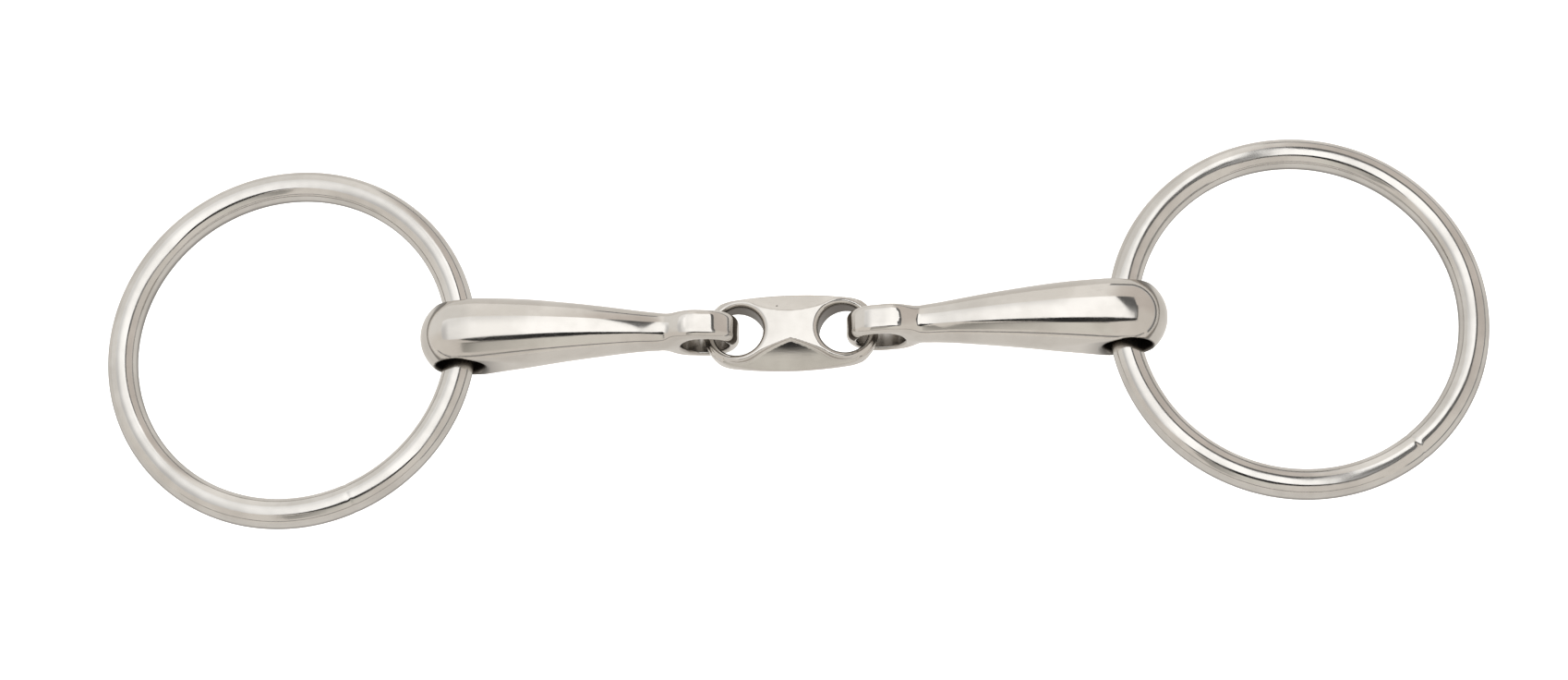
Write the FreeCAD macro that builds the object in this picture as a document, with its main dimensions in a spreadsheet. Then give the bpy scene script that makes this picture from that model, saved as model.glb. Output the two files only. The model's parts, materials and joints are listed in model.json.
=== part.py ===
import FreeCAD, Part
import os
from math import asin, atan2, cos, hypot, pi, sin, sqrt

import Sketcher
from FreeCAD import Placement, Rotation, Vector

# Loose-ring snaffle bit with a double-jointed mouthpiece, lying flat on a table.
# Frame: +X along the mouthpiece to the right ring, +Y across it, +Z up.
# The origin is on the table, straight below the middle of the centre link.

doc = FreeCAD.newDocument("snaffle_bit")

# ---------------------------------------------------------------- dimensions
DIMENSIONS = [
    # rings
    ("wire_radius", 3.0, "half of the 6 mm round ring wire"),
    ("ring_radius", 34.5, "middle of the wire, so the ring is 75 mm outside"),
    # mouthpiece as a whole
    ("half_span", 65.5, "ring wire to centre: 125 mm mouth between the rings"),
    ("wire_height", 7.4, "ring wire above the table, where it hangs low in its bore"),
    ("bore_height", 8.1, "bore above the table with the arm end resting on it"),
    ("right_slide", 0.7, "the right arm lies this much further out, on its play"),
    ("bow_angle", 8.95, "degrees the arm rises at its bore"),
    ("bow_radius", 124.0, "curve of the arm in side view"),
    # arm
    ("end_radius", 8.0, "ball at the ring end"),
    ("bore_radius", 4.7, "hole the ring wire slides through"),
    ("bore_straight", 5.3, "half length of the hole before its mouths open"),
    ("bell_radius", 1.3, "rounding of the hole's mouths"),
    # eye at the inner end of the arm
    ("eye_reach", 39.3, "where the straight run to the eye begins"),
    ("eye_radius", 6.4, "outside of the eye, half its height"),
    ("eye_hole_radius", 4.3, "opening that holds the link"),
    ("eye_width", 6.0, "across, along Y"),
    ("eye_outer_near", 7.3, "start of the eye's straight top, past eye_reach"),
    ("eye_outer_far", 9.8, "end of the eye's straight top"),
    ("eye_hole_near", 9.0, "near centre of the opening, past eye_reach"),
    ("eye_hole_far", 9.9, "far centre of the opening, where the link turns"),
    ("eye_rounding", 1.4, "outer edges of the eye"),
    ("eye_hole_rounding", 0.55, "edges of the opening"),
    # centre link
    ("link_height", 4.75, "middle of the link above the table"),
    ("link_half_length", 17.3, "to the end of the link"),
    ("link_half_width", 8.0, "to the side of the link"),
    ("link_end_radius", 7.1, "curve of each end in plan"),
    ("flank_start", 2.4, "from the middle line to where the flanks begin"),
    ("flank_cut_start", 0.8, "from the middle line to where their cut begins"),
    ("flank_height", 3.4, "half thickness there"),
    ("flank_slope", 26.0, "degrees the flank falls there"),
    ("flank_radius", 62.0, "curve of the flank across the link"),
    ("raised_half", 3.9, "half thickness at the raised face"),
    ("raised_waist", 2.4, "to the peak in the raised face's near edge"),
    ("raised_far", 3.6, "to the middle of the raised face's far edge"),
    ("raised_end_radius", 6.35, "raised face round each opening"),
    ("raised_end_half", 0.85, "half thickness where the ends run out"),
    ("slot_centre", 10.4, "middle of each opening in the link"),
    ("slot_radius", 4.95, "opening in the link"),
    ("slot_rounding", 0.8, "edges of the opening in the link"),
    ("cut_margin", 1.0, "how far a cutting profile runs past the metal"),
]

# Round and oval sections of the arm: name, distance from the bore, half height,
# half width.  The body tapers to a neck, then flattens and rises into the eye.
ARM_SECTIONS = [
    ("end", 0.0, 8.0, 8.0),
    ("ball", 3.4, 7.92, 7.92),
    ("lip", 7.0, 7.55, 7.55),
    ("thick", 14.0, 6.75, 6.75),
    ("middle", 22.0, 5.78, 5.78),
    ("slim", 30.0, 4.80, 4.80),
    ("thin", 35.0, 4.18, 4.18),
    ("neck", 38.5, 3.85, 3.85),
    ("rise", 40.6, 4.02, 3.60),
    ("shoulder", 42.0, 4.50, 3.20),
    ("root", 43.2, 4.95, 2.85),
]

NEAR_ENOUGH = 0.01
AXIS_X, AXIS_Y, CENTRE_POINT, START, END = -1, -2, 3, 1, 2
THROUGH_ALL = 1
UP = Vector(0, 0, 1)

sheet = doc.addObject("Spreadsheet::Sheet", "Sheet")
rows = list(DIMENSIONS)
for name, along, half_height, half_width in ARM_SECTIONS:
    rows.append((f"along_{name}", along, f"{name} section, distance from the bore"))
    rows.append((f"tall_{name}", half_height, f"{name} section, half height"))
    rows.append((f"wide_{name}", half_width, f"{name} section, half width"))
for row, (alias, value, note) in enumerate(rows, 1):
    sheet.set(f"A{row}", alias)
    sheet.set(f"B{row}", str(value))
    sheet.set(f"C{row}", note)
    sheet.setAlias(f"B{row}", alias)
doc.recompute()


# ------------------------------------------------------------------- helpers
def value_of(expression):
    """What an expression over the sheet comes to now."""
    found = sheet.evalExpression(expression)
    return float(getattr(found, "Value", found))


def origin_plane(body, role):
    """One of the body's own three datum planes."""
    return next(o for o in body.Origin.OriginFeatures if o.Role == role)


def new_body(name):
    body = doc.addObject("PartDesign::Body", name)
    body.Label = name
    return body


def new_sketch(body, role, name):
    sketch = body.newObject("Sketcher::SketchObject", name)
    sketch.AttachmentSupport = (origin_plane(body, role), [""])
    sketch.MapMode = "FlatFace"
    sketch.Visibility = False
    return sketch


def constrain(sketch, kind, *where):
    return sketch.addConstraint(Sketcher.Constraint(kind, *where))


def measure(sketch, kind, where, expression):
    """A driving dimension that follows an expression over the sheet."""
    index = constrain(sketch, kind, *where, value_of(expression))
    sketch.setExpression(f"Constraints[{index}]", expression)


def place_point(sketch, geometry, point, across="0", up="0"):
    """Tie a point to the sketch's origin each way, or exactly onto the axis where 0."""
    for kind, expression, axis in (("DistanceX", across, AXIS_Y), ("DistanceY", up, AXIS_X)):
        if expression == "0":
            constrain(sketch, "PointOnObject", geometry, point, axis)
        else:
            measure(sketch, kind, (-1, 1, geometry, point), expression)


def add_circle(sketch, radius, across="0"):
    """A circle on the sketch's X axis whose radius and place follow the sheet."""
    centre = Vector(value_of(across), 0, 0)
    circle = sketch.addGeometry(Part.Circle(centre, UP, value_of(radius)), False)
    measure(sketch, "Radius", (circle,), radius)
    place_point(sketch, circle, CENTRE_POINT, across)


def add_arc(sketch, centre, radius, first, last):
    circle = Part.Circle(Vector(*centre, 0), UP, radius)
    return sketch.addGeometry(Part.ArcOfCircle(circle, first, last), False)


def add_line(sketch, start, end):
    return sketch.addGeometry(Part.LineSegment(start, end), False)


def chain(sketch, kind, pieces):
    """Join each piece's end to the next one's start, and the last to the first."""
    for piece, following in zip(pieces, pieces[1:] + pieces[:1]):
        constrain(sketch, kind, piece, END, following, START)


def add_slot(sketch, near, far, radius):
    """A slot along the sketch's X axis: two half circles and two straights."""
    low, high, r = value_of(near), value_of(far), value_of(radius)
    lift = Vector(0, r, 0)
    at_low, at_high = Vector(low, 0, 0), Vector(high, 0, 0)
    right = add_arc(sketch, (high, 0), r, -pi / 2, pi / 2)
    top = add_line(sketch, at_high + lift, at_low + lift)
    left = add_arc(sketch, (low, 0), r, pi / 2, 3 * pi / 2)
    base = add_line(sketch, at_low - lift, at_high - lift)
    chain(sketch, "Tangent", [right, top, left, base])
    constrain(sketch, "Horizontal", top)
    measure(sketch, "Radius", (right,), radius)
    place_point(sketch, right, CENTRE_POINT, far)
    place_point(sketch, left, CENTRE_POINT, near)


def add_arc_cut(sketch, side, centre, radius, ends, lid):
    """The region between an arc and a level line outside it.

    side is 1 for the upper half of the sketch and -1 for the lower half; centre,
    radius, ends (two distances across) and lid are expressions for the upper half.
    """
    across, down = value_of(centre[0]), side * value_of(centre[1])
    r, height = value_of(radius), side * value_of(lid)
    corners = []
    for end in ends:
        x = value_of(end)
        y = down + side * sqrt(r**2 - (x - across) ** 2)
        corners.append((atan2(y - down, x - across), end, Vector(x, y, 0)))
    (first, end_a, a), (last, end_b, b) = sorted(corners, key=lambda corner: corner[0])
    lid_a, lid_b = Vector(a.x, height, 0), Vector(b.x, height, 0)
    arc = add_arc(sketch, (across, down), r, first, last)
    wall_b = add_line(sketch, b, lid_b)
    level = add_line(sketch, lid_b, lid_a)
    wall_a = add_line(sketch, lid_a, a)
    chain(sketch, "Coincident", [arc, wall_b, level, wall_a])
    constrain(sketch, "Vertical", wall_a)
    constrain(sketch, "Vertical", wall_b)
    constrain(sketch, "Horizontal", level)
    measure(sketch, "Radius", (arc,), radius)
    place_point(sketch, arc, CENTRE_POINT, centre[0], f"{side} * {centre[1]}")
    place_point(sketch, level, START, end_b, f"{side} * ({lid})")
    measure(sketch, "DistanceX", (-1, 1, level, END), end_a)


def both_ways(body, kind, name, profile, length=None):
    """A pad or pocket that runs the same distance each way, or a cut through all."""
    feature = body.newObject(f"PartDesign::{kind}", name)
    feature.Profile = profile
    feature.Midplane = True
    if length is None:
        feature.Type = THROUGH_ALL
    else:
        feature.setExpression("Length", length)
    doc.recompute()
    return feature


def turned(body, kind, name, profile):
    """A full turn of a profile about its own vertical axis, added or cut away."""
    feature = body.newObject(f"PartDesign::{kind}", name)
    feature.Profile = profile
    feature.ReferenceAxis = (profile, ["V_Axis"])
    feature.Angle = 360.0
    return feature


def fillet(body, name, base, edges, radius):
    feature = body.newObject("PartDesign::Fillet", name)
    feature.Base = (base, edges)
    feature.setExpression("Radius", radius)
    doc.recompute()
    return feature


# --------------------------------------------------------------------- rings
def make_ring(name, side):
    """Round wire bent to a circle and welded shut.  It leans from the bore to the table."""
    body = new_body(name)
    section = new_sketch(body, "XZ_Plane", f"{name}_wire")
    add_circle(section, "Sheet.wire_radius", "Sheet.ring_radius")
    body.Tip = turned(body, "Revolution", f"{name}_bend", section)
    lean = "asin((Sheet.wire_height - Sheet.wire_radius) / (2 * Sheet.ring_radius))"
    centre_x = f"{side} * (Sheet.half_span + Sheet.ring_radius * cos({lean}))"
    centre_z = "(Sheet.wire_height + Sheet.wire_radius) / 2"
    heading = 0 if side > 0 else 180
    body.setExpression(
        "Placement",
        f"placement(vector({centre_x}; 0; {centre_z});"
        f" rotation(vector(0; 0; 1); {heading}) * rotation(vector(0; 1; 0); {lean}))",
    )
    return body


# ---------------------------------------------------------------------- arms
def on_bow(sketch, along, lateral_axis):
    """Put a sketch on the arm's curved middle line, square to it or in its plane.

    along is an expression for the distance from the bore.  lateral_axis is the
    sketch axis that points across the arm.
    """
    slope = f"(Sheet.bow_angle - ({along}) / Sheet.bow_radius * 180 / pi)"
    run = f"Sheet.bow_radius * (sin(Sheet.bow_angle * 1deg) - sin({slope} * 1deg))"
    rise = f"Sheet.bow_radius * (cos({slope} * 1deg) - cos(Sheet.bow_angle * 1deg))"
    square_to_bow = bool(lateral_axis.y)
    up_axis, angle = ("z", f"90 - {slope}") if square_to_bow else ("y", slope)
    sketch.AttachmentOffset = Placement(Vector(), Rotation(lateral_axis, value_of(angle)))
    sketch.setExpression("AttachmentOffset.Base.x", run)
    sketch.setExpression(f"AttachmentOffset.Base.{up_axis}", rise)
    sketch.setExpression("AttachmentOffset.Rotation.Angle", angle)


def arm_section(body, name, section, tall, wide):
    """One slice of the arm: a circle, or an oval standing on its end."""
    sketch = new_sketch(body, "XY_Plane", f"{name}_{section}")
    on_bow(sketch, f"Sheet.along_{section}", Vector(0, 1, 0))
    if tall == wide:
        add_circle(sketch, f"Sheet.tall_{section}")
        return sketch
    ellipse = Part.Ellipse(Vector(tall, 0, 0), Vector(0, wide, 0), Vector())
    oval = sketch.addGeometry(ellipse, False)
    sketch.exposeInternalGeometry(oval)
    long_axis, short_axis = oval + 1, oval + 2
    place_point(sketch, oval, CENTRE_POINT)
    constrain(sketch, "Horizontal", long_axis)
    measure(sketch, "Distance", (long_axis,), f"2 * Sheet.tall_{section}")
    measure(sketch, "Distance", (short_axis,), f"2 * Sheet.wide_{section}")
    return sketch


def eye_edges(feature, outline, outer):
    """Edges of the eye's two flat sides: those of its outline, or of its opening."""
    side = value_of("Sheet.eye_width / 2")
    between = value_of("(Sheet.eye_hole_radius + Sheet.eye_radius) / 2")
    centres = [
        outline.Placement.multVec(Vector(value_of(f"Sheet.{alias}"), 0, 0))
        for alias in ("eye_outer_near", "eye_outer_far")
    ]
    names = []
    for number, edge in enumerate(feature.Shape.Edges, 1):
        box = edge.BoundBox
        if abs(abs(box.Center.y) - side) > NEAR_ENOUGH or box.YLength > NEAR_ENOUGH:
            continue
        at = edge.valueAt((edge.FirstParameter + edge.LastParameter) / 2)
        gap = min(hypot(at.x - centre.x, at.z - centre.z) for centre in centres)
        if (gap > between) == outer:
            names.append(f"Edge{number}")
    return names


def add_eye(body, name):
    """Closed eye: a slot-shaped slab with its opening, rounded all over."""
    outline = new_sketch(body, "XZ_Plane", f"{name}_eye_outline")
    on_bow(outline, "Sheet.eye_reach", UP)
    add_slot(outline, "Sheet.eye_outer_near", "Sheet.eye_outer_far", "Sheet.eye_radius")
    both_ways(body, "Pad", f"{name}_eye", outline, "Sheet.eye_width")
    opening = new_sketch(body, "XZ_Plane", f"{name}_eye_opening")
    on_bow(opening, "Sheet.eye_reach", UP)
    add_slot(opening, "Sheet.eye_hole_near", "Sheet.eye_hole_far", "Sheet.eye_hole_radius")
    hole = both_ways(body, "Pocket", f"{name}_eye_hole", opening)
    inner = fillet(
        body, f"{name}_eye_hole_rounding", hole,
        eye_edges(hole, outline, False), "Sheet.eye_hole_rounding",
    )
    fillet(
        body, f"{name}_eye_rounding", inner,
        eye_edges(inner, outline, True), "Sheet.eye_rounding",
    )


def add_taper(body, name):
    """Tapered body, neck and the rise into the eye, with a ball at the ring end."""
    slices = [
        arm_section(body, name, section, tall, wide)
        for section, _, tall, wide in ARM_SECTIONS
    ]
    taper = body.newObject("PartDesign::AdditiveLoft", f"{name}_taper")
    taper.Profile = slices[0]
    taper.Sections = slices[1:]
    doc.recompute()
    ball = body.newObject("PartDesign::AdditiveSphere", f"{name}_ball")
    ball.setExpression("Radius", "Sheet.end_radius")
    doc.recompute()


def bore_arm(body, name):
    """Hole for the ring wire along Y, its mouths opening like a bell."""
    profile = new_sketch(body, "XY_Plane", f"{name}_bore_profile")
    bore, bell = value_of("Sheet.bore_radius"), value_of("Sheet.bell_radius")
    straight = value_of("Sheet.bore_straight")
    past_end = "Sheet.end_radius + Sheet.cut_margin"
    top = Vector(0, value_of(past_end), 0)
    mouth = Vector(bore + bell, 0, 0)
    half = Vector(0, straight, 0)
    lip = Vector(0, straight + bell, 0)
    spine = add_line(profile, -top, top)
    cap = add_line(profile, top, mouth + top)
    side_up = add_line(profile, mouth + top, mouth + lip)
    arc_up = add_arc(profile, (bore + bell, straight), bell, pi / 2, pi)
    wall = add_line(profile, Vector(bore, straight, 0), Vector(bore, -straight, 0))
    arc_down = add_arc(profile, (bore + bell, -straight), bell, pi, 3 * pi / 2)
    side_down = add_line(profile, mouth - lip, mouth - top)
    base = add_line(profile, mouth - top, -top)
    outline = [spine, cap, side_up, arc_up, wall, arc_down, side_down, base]
    for piece, following in zip(outline, outline[1:] + outline[:1]):
        kind = "Tangent" if wall in (piece, following) else "Coincident"
        constrain(profile, kind, piece, END, following, START)
    for line, kind in (
        (side_up, "Vertical"), (side_down, "Vertical"), (cap, "Horizontal"), (base, "Horizontal"),
    ):
        constrain(profile, kind, line)
    constrain(profile, "Vertical", arc_up, START, arc_up, CENTRE_POINT)
    constrain(profile, "Vertical", arc_down, END, arc_down, CENTRE_POINT)
    place_point(profile, spine, START, up=f"-({past_end})")
    constrain(profile, "Symmetric", spine, START, spine, END, -1, 1)
    for arc, sign in ((arc_up, 1), (arc_down, -1)):
        measure(profile, "Radius", (arc,), "Sheet.bell_radius")
        place_point(
            profile, arc, CENTRE_POINT,
            "Sheet.bore_radius + Sheet.bell_radius", f"{sign} * Sheet.bore_straight",
        )
    body.Tip = turned(body, "Groove", f"{name}_bore", profile)


def make_arm(name, side):
    """Cast mouth arm: ball end with its bore, bowed taper and a closed eye."""
    body = new_body(name)
    add_eye(body, name)
    add_taper(body, name)
    bore_arm(body, name)
    heading = 0.0 if side < 0 else 180.0
    slide = "Sheet.right_slide" if side > 0 else "0"
    body.Placement = Placement(Vector(), Rotation(UP, heading))
    body.setExpression("Placement.Base.x", f"{side} * Sheet.half_span + {slide}")
    body.setExpression("Placement.Base.z", "Sheet.bore_height")
    return body


# ---------------------------------------------------------------------- link
def add_blank(body, name):
    """Oval plate: two end arcs joined by two side arcs that touch them smoothly."""
    end_r = value_of("Sheet.link_end_radius")
    width = value_of("Sheet.link_half_width")
    reach = "(Sheet.link_half_length - Sheet.link_end_radius)"
    side_radius = (
        f"({reach} ^ 2 + Sheet.link_half_width ^ 2 - Sheet.link_end_radius ^ 2)"
        " / (2 * (Sheet.link_half_width - Sheet.link_end_radius))"
    )
    end_x, side_r = value_of(reach), value_of(side_radius)
    side_y = side_r - width
    swing = atan2(end_x, side_y)
    plan = new_sketch(body, "XY_Plane", f"{name}_oval")
    right = add_arc(plan, (end_x, 0), end_r, swing - pi / 2, pi / 2 - swing)
    far = add_arc(plan, (0, -side_y), side_r, pi / 2 - swing, pi / 2 + swing)
    left = add_arc(plan, (-end_x, 0), end_r, pi / 2 + swing, 3 * pi / 2 - swing)
    near = add_arc(plan, (0, side_y), side_r, 3 * pi / 2 - swing, 3 * pi / 2 + swing)
    chain(plan, "Tangent", [right, far, left, near])
    measure(plan, "Radius", (right,), "Sheet.link_end_radius")
    measure(plan, "Radius", (left,), "Sheet.link_end_radius")
    measure(plan, "Radius", (far,), side_radius)
    constrain(plan, "Equal", far, near)
    place_point(plan, right, CENTRE_POINT, reach)
    place_point(plan, left, CENTRE_POINT, f"-{reach}")
    both_ways(body, "Pad", f"{name}_blank", plan, "2 * Sheet.raised_half")


def cut_flanks(body, name):
    """Both faces fall away to the rim, each side on an arc of its own."""
    inset = "(Sheet.flank_radius * sin(Sheet.flank_slope * 1deg) - Sheet.flank_start)"
    centre_up = "(Sheet.flank_height - Sheet.flank_radius * cos(Sheet.flank_slope * 1deg))"
    inner, outer = "Sheet.flank_cut_start", "(Sheet.link_half_width + Sheet.cut_margin)"
    for face, word in ((1, "top"), (-1, "base")):
        profile = new_sketch(body, "YZ_Plane", f"{name}_flanks_{word}")
        for across in (1, -1):
            add_arc_cut(
                profile, face, (f"{-across} * {inset}", centre_up), "Sheet.flank_radius",
                (f"{across} * {inner}", f"{across} * {outer}"),
                "Sheet.raised_half + Sheet.cut_margin",
            )
        both_ways(body, "Pocket", f"{name}_flanked_{word}", profile)


def add_raised_face(body, name):
    """Raised face of both sides: round each opening, drawn in between them.

    The far edge is one arc that touches both rounds.  The near edge is two straights
    that touch them and meet in a peak.
    """
    waist, round_r = value_of("Sheet.raised_waist"), value_of("Sheet.raised_end_radius")
    centre_x = value_of("Sheet.slot_centre")
    far_radius = (
        "((Sheet.slot_centre ^ 2 + Sheet.raised_far ^ 2 - Sheet.raised_end_radius ^ 2)"
        " / (2 * (Sheet.raised_end_radius - Sheet.raised_far)))"
    )
    far_centre = f"Sheet.raised_far + {far_radius}"
    far_r, far_y = value_of(far_radius), value_of(far_centre)
    far_turn = atan2(far_y, -centre_x)
    swing = far_turn - pi / 2
    touch = asin(round_r / hypot(centre_x, waist)) - atan2(waist, centre_x)
    touch_x, touch_y = centre_x - round_r * sin(touch), round_r * cos(touch)
    peak = Vector(0, -waist, 0)
    plan = new_sketch(body, "XY_Plane", f"{name}_raised_outline")
    right = add_arc(plan, (centre_x, 0), round_r, -pi / 2 - touch, far_turn)
    far = add_arc(plan, (0, far_y), far_r, -pi / 2 - swing, -pi / 2 + swing)
    left = add_arc(plan, (-centre_x, 0), round_r, pi - far_turn, 3 * pi / 2 + touch)
    near_left = add_line(plan, Vector(-touch_x, -touch_y, 0), peak)
    near_right = add_line(plan, peak, Vector(touch_x, -touch_y, 0))
    constrain(plan, "Tangent", right, END, far, END)
    constrain(plan, "Tangent", far, START, left, START)
    constrain(plan, "Tangent", left, END, near_left, START)
    constrain(plan, "Coincident", near_left, END, near_right, START)
    constrain(plan, "Tangent", near_right, END, right, START)
    for arc, centre in ((right, "Sheet.slot_centre"), (left, "-Sheet.slot_centre")):
        measure(plan, "Radius", (arc,), "Sheet.raised_end_radius")
        place_point(plan, arc, CENTRE_POINT, centre)
    measure(plan, "DistanceY", (-1, 1, far, CENTRE_POINT), far_centre)
    place_point(plan, near_left, END, up="-Sheet.raised_waist")
    both_ways(body, "Pad", f"{name}_raised_faces", plan, "2 * Sheet.raised_half")


def arch_faces(body, name):
    """Both faces run out thinner towards the ends of the link, along one long arc."""
    arch_radius = (
        "((Sheet.link_half_length ^ 2 + (Sheet.raised_half - Sheet.raised_end_half) ^ 2)"
        " / (2 * (Sheet.raised_half - Sheet.raised_end_half)))"
    )
    reach = "(Sheet.link_half_length + Sheet.cut_margin)"
    for face, word in ((1, "top"), (-1, "base")):
        profile = new_sketch(body, "XZ_Plane", f"{name}_arch_{word}")
        add_arc_cut(
            profile, face, ("0", f"(Sheet.raised_half - {arch_radius})"), arch_radius,
            (f"-{reach}", reach), "Sheet.raised_half + Sheet.cut_margin",
        )
        both_ways(body, "Pocket", f"{name}_arched_{word}", profile)


def opening_rims(shape):
    """The edges where the two openings meet the faces of the link."""
    centre_x, radius = value_of("Sheet.slot_centre"), value_of("Sheet.slot_radius")
    names = []
    for number, edge in enumerate(shape.Edges, 1):
        first, last = edge.FirstParameter, edge.LastParameter
        points = [edge.valueAt(at) for at in (first, (first + last) / 2, last)]
        on_wall = all(
            abs(hypot(abs(p.x) - centre_x, p.y) - radius) < NEAR_ENOUGH for p in points
        )
        along_wall = abs(points[0].z + points[-1].z) < NEAR_ENOUGH
        if on_wall and not along_wall:
            names.append(f"Edge{number}")
    return names


def open_link(body, name):
    """The two round openings for the arms' eyes, with softened edges."""
    plan = new_sketch(body, "XY_Plane", f"{name}_openings")
    add_circle(plan, "Sheet.slot_radius", "Sheet.slot_centre")
    add_circle(plan, "Sheet.slot_radius", "-Sheet.slot_centre")
    holes = both_ways(body, "Pocket", f"{name}_holes", plan)
    body.Tip = fillet(
        body, f"{name}_hole_rounding", holes, opening_rims(holes.Shape), "Sheet.slot_rounding"
    )


def make_link(name):
    """Oval centre link with falling flanks, a raised waisted face each side, two openings."""
    body = new_body(name)
    add_blank(body, name)
    cut_flanks(body, name)
    add_raised_face(body, name)
    arch_faces(body, name)
    open_link(body, name)
    body.setExpression("Placement.Base.z", "Sheet.link_height")
    return body


# ------------------------------------------------------------------ assembly
nodes = [
    make_ring("left_ring", -1),
    make_arm("left_mouth_arm", -1),
    make_link("centre_link"),
    make_arm("right_mouth_arm", 1),
    make_ring("right_ring", 1),
]
doc.recompute()

for obj in doc.Objects:
    bad = [state for state in obj.State if state in ("Invalid", "Error")]
    if bad:
        raise RuntimeError(f"{obj.Name} did not build: {bad}")
for node in nodes:
    if node.Shape.isNull() or not node.Shape.isValid():
        raise RuntimeError(f"{node.Label} is not a valid solid")

os.makedirs("parts", exist_ok=True)
for node in nodes:
    node.Shape.exportStep(f"parts/{node.Label}.step")
    print(f"{node.Label}: {node.Shape.Volume:.0f} mm3, {len(node.Shape.Solids)} solid")
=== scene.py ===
import json
from math import atan2, asin, cos, hypot, pi, radians, sin

import bpy
import numpy as np
from mathutils import Matrix, Vector

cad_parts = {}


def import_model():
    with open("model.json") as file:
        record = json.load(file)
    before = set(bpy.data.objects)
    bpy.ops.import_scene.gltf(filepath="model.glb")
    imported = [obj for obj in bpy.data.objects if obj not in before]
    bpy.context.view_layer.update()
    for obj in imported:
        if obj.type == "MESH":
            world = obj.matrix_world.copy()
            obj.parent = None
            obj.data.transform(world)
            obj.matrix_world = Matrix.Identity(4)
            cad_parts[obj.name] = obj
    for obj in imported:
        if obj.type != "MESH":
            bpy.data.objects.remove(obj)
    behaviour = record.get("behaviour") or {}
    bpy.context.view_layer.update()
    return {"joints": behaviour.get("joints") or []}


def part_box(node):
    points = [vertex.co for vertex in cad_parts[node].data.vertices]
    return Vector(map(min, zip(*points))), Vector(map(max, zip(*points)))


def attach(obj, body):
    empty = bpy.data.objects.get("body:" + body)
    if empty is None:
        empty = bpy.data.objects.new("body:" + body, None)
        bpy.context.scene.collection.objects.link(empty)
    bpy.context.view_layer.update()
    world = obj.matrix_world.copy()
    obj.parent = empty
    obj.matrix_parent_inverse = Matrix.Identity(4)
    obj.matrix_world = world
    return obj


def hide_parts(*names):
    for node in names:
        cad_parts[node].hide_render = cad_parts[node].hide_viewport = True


# Loose-ring snaffle bit: polished steel rings, cast mouth arms and centre link.
# Shapes are worked out in millimetres and stored in metres, in the CAD frame:
# X along the mouth, Y across it, Z up from the table. The studio is in metres.

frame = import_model()
joints = {joint["name"]: joint for joint in frame["joints"]}

MM = 0.001
SIDES = {"left": -1, "right": 1}

# ------------------------------------------------------------------- sizes, mm
WIRE_RADIUS = 3.0
RING_RADIUS = 34.5
# The weld is a faint waist in the wire; the mesh is finer there by the crowding.
WELD_DEPTH = 0.06
WELD_WIDTH = radians(0.8)
WELD_CROWDING = 0.8
WELD_TURN = {"left": radians(-68), "right": radians(-52)}
RING_STEPS = 480
WIRE_STEPS = 64

# The arm is bowed upwards on an arc that starts at this angle at the bore.
BOW_ANGLE = radians(8.95)
BOW_RADIUS = 124.0
END_RADIUS = 8.0
BORE_RADIUS = 4.7
BORE_STRAIGHT = 5.3
BELL_RADIUS = 1.3
BORE_EDGE = 0.35

# The arm's round and oval sections: distance from the bore, half height, half width.
ARM_SECTIONS = (
    (0.0, 8.0, 8.0),
    (3.4, 7.92, 7.92),
    (7.0, 7.55, 7.55),
    (14.0, 6.75, 6.75),
    (22.0, 5.78, 5.78),
    (30.0, 4.80, 4.80),
    (35.0, 4.18, 4.18),
    (38.5, 3.85, 3.85),
    (40.6, 4.02, 3.60),
    (42.0, 4.50, 3.20),
    (43.2, 4.95, 2.85),
)
# The eye sits on a straight run that leaves the arc this far from the bore. Its outline
# and its hole are slots, whose half circles have their centres along that run.
EYE_REACH = 39.3
EYE_RADIUS = 6.4
EYE_HOLE_RADIUS = 4.3
EYE_HALF_WIDTH = 3.0
EYE_OUTER = (7.3, 9.8)
EYE_HOLE = (9.0, 9.9)
EYE_EDGE = 1.55
EYE_HOLE_EDGE = 0.5
EYE_BLEND = 1.2

# The link's outline is an oval of four arcs, with two round openings.
LINK_HALF_LENGTH = 17.3
LINK_HALF_WIDTH = 8.0
LINK_END_RADIUS = 7.1
LINK_EDGE = 0.3
SLOT_CENTRE = 10.4
SLOT_RADIUS = 4.95
SLOT_EDGE = 1.1
# Its flanks start this far from the middle line, at this half thickness and slope; the
# sink keeps their tops below the raised face.
FLANK_START = 2.4
FLANK_HEIGHT = 3.4
FLANK_SLOPE = radians(26.0)
FLANK_RADIUS = 62.0
FLANK_SINK = 0.4
# The raised face's half thickness in the middle and at the ends, then its outline: half
# widths of the waist on the near and far side, and the round about each opening.
RAISED_HALF = 3.9
RAISED_END_HALF = 0.85
RAISED_WAIST = 2.4
RAISED_FAR = 3.6
RAISED_END_RADIUS = 6.35
NEAR_ARC_RADIUS = 30.0
RAISED_BLEND = 0.4
# Its edge is crisp at the waist and rounder along the beads that ring the openings.
WAIST_EDGE = 0.25
BEAD_EDGE = 0.6
WAIST_RUN = (2.5, 7.5)

# Cell size of each mesh, and the empty room kept round its shape.
ARM_PITCH = 0.4
ARM_ROOM = 1.0
ARM_REACH = 57.0
ARM_RISE = 10.0
LINK_PITCH = 0.25
LINK_ROOM = 0.7

# How dark the painted shade on hidden walls is, and how much duller they get, from 0 to 1,
# where that starts and over how much of the wall's rounded edge it grows.
EYE_PAINTED_SHADE = 0.35
EYE_SHADE_START = 0.05
LINK_PAINTED_SHADE = 0.95
LINK_SHADE_START = 0.03
LINK_SHADE_RUN = 0.35
BORE_SHADE_RUN = 0.5
# Polishing lines run this many times longer than they are wide.
GRAIN_STRETCH = 8.0


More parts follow.
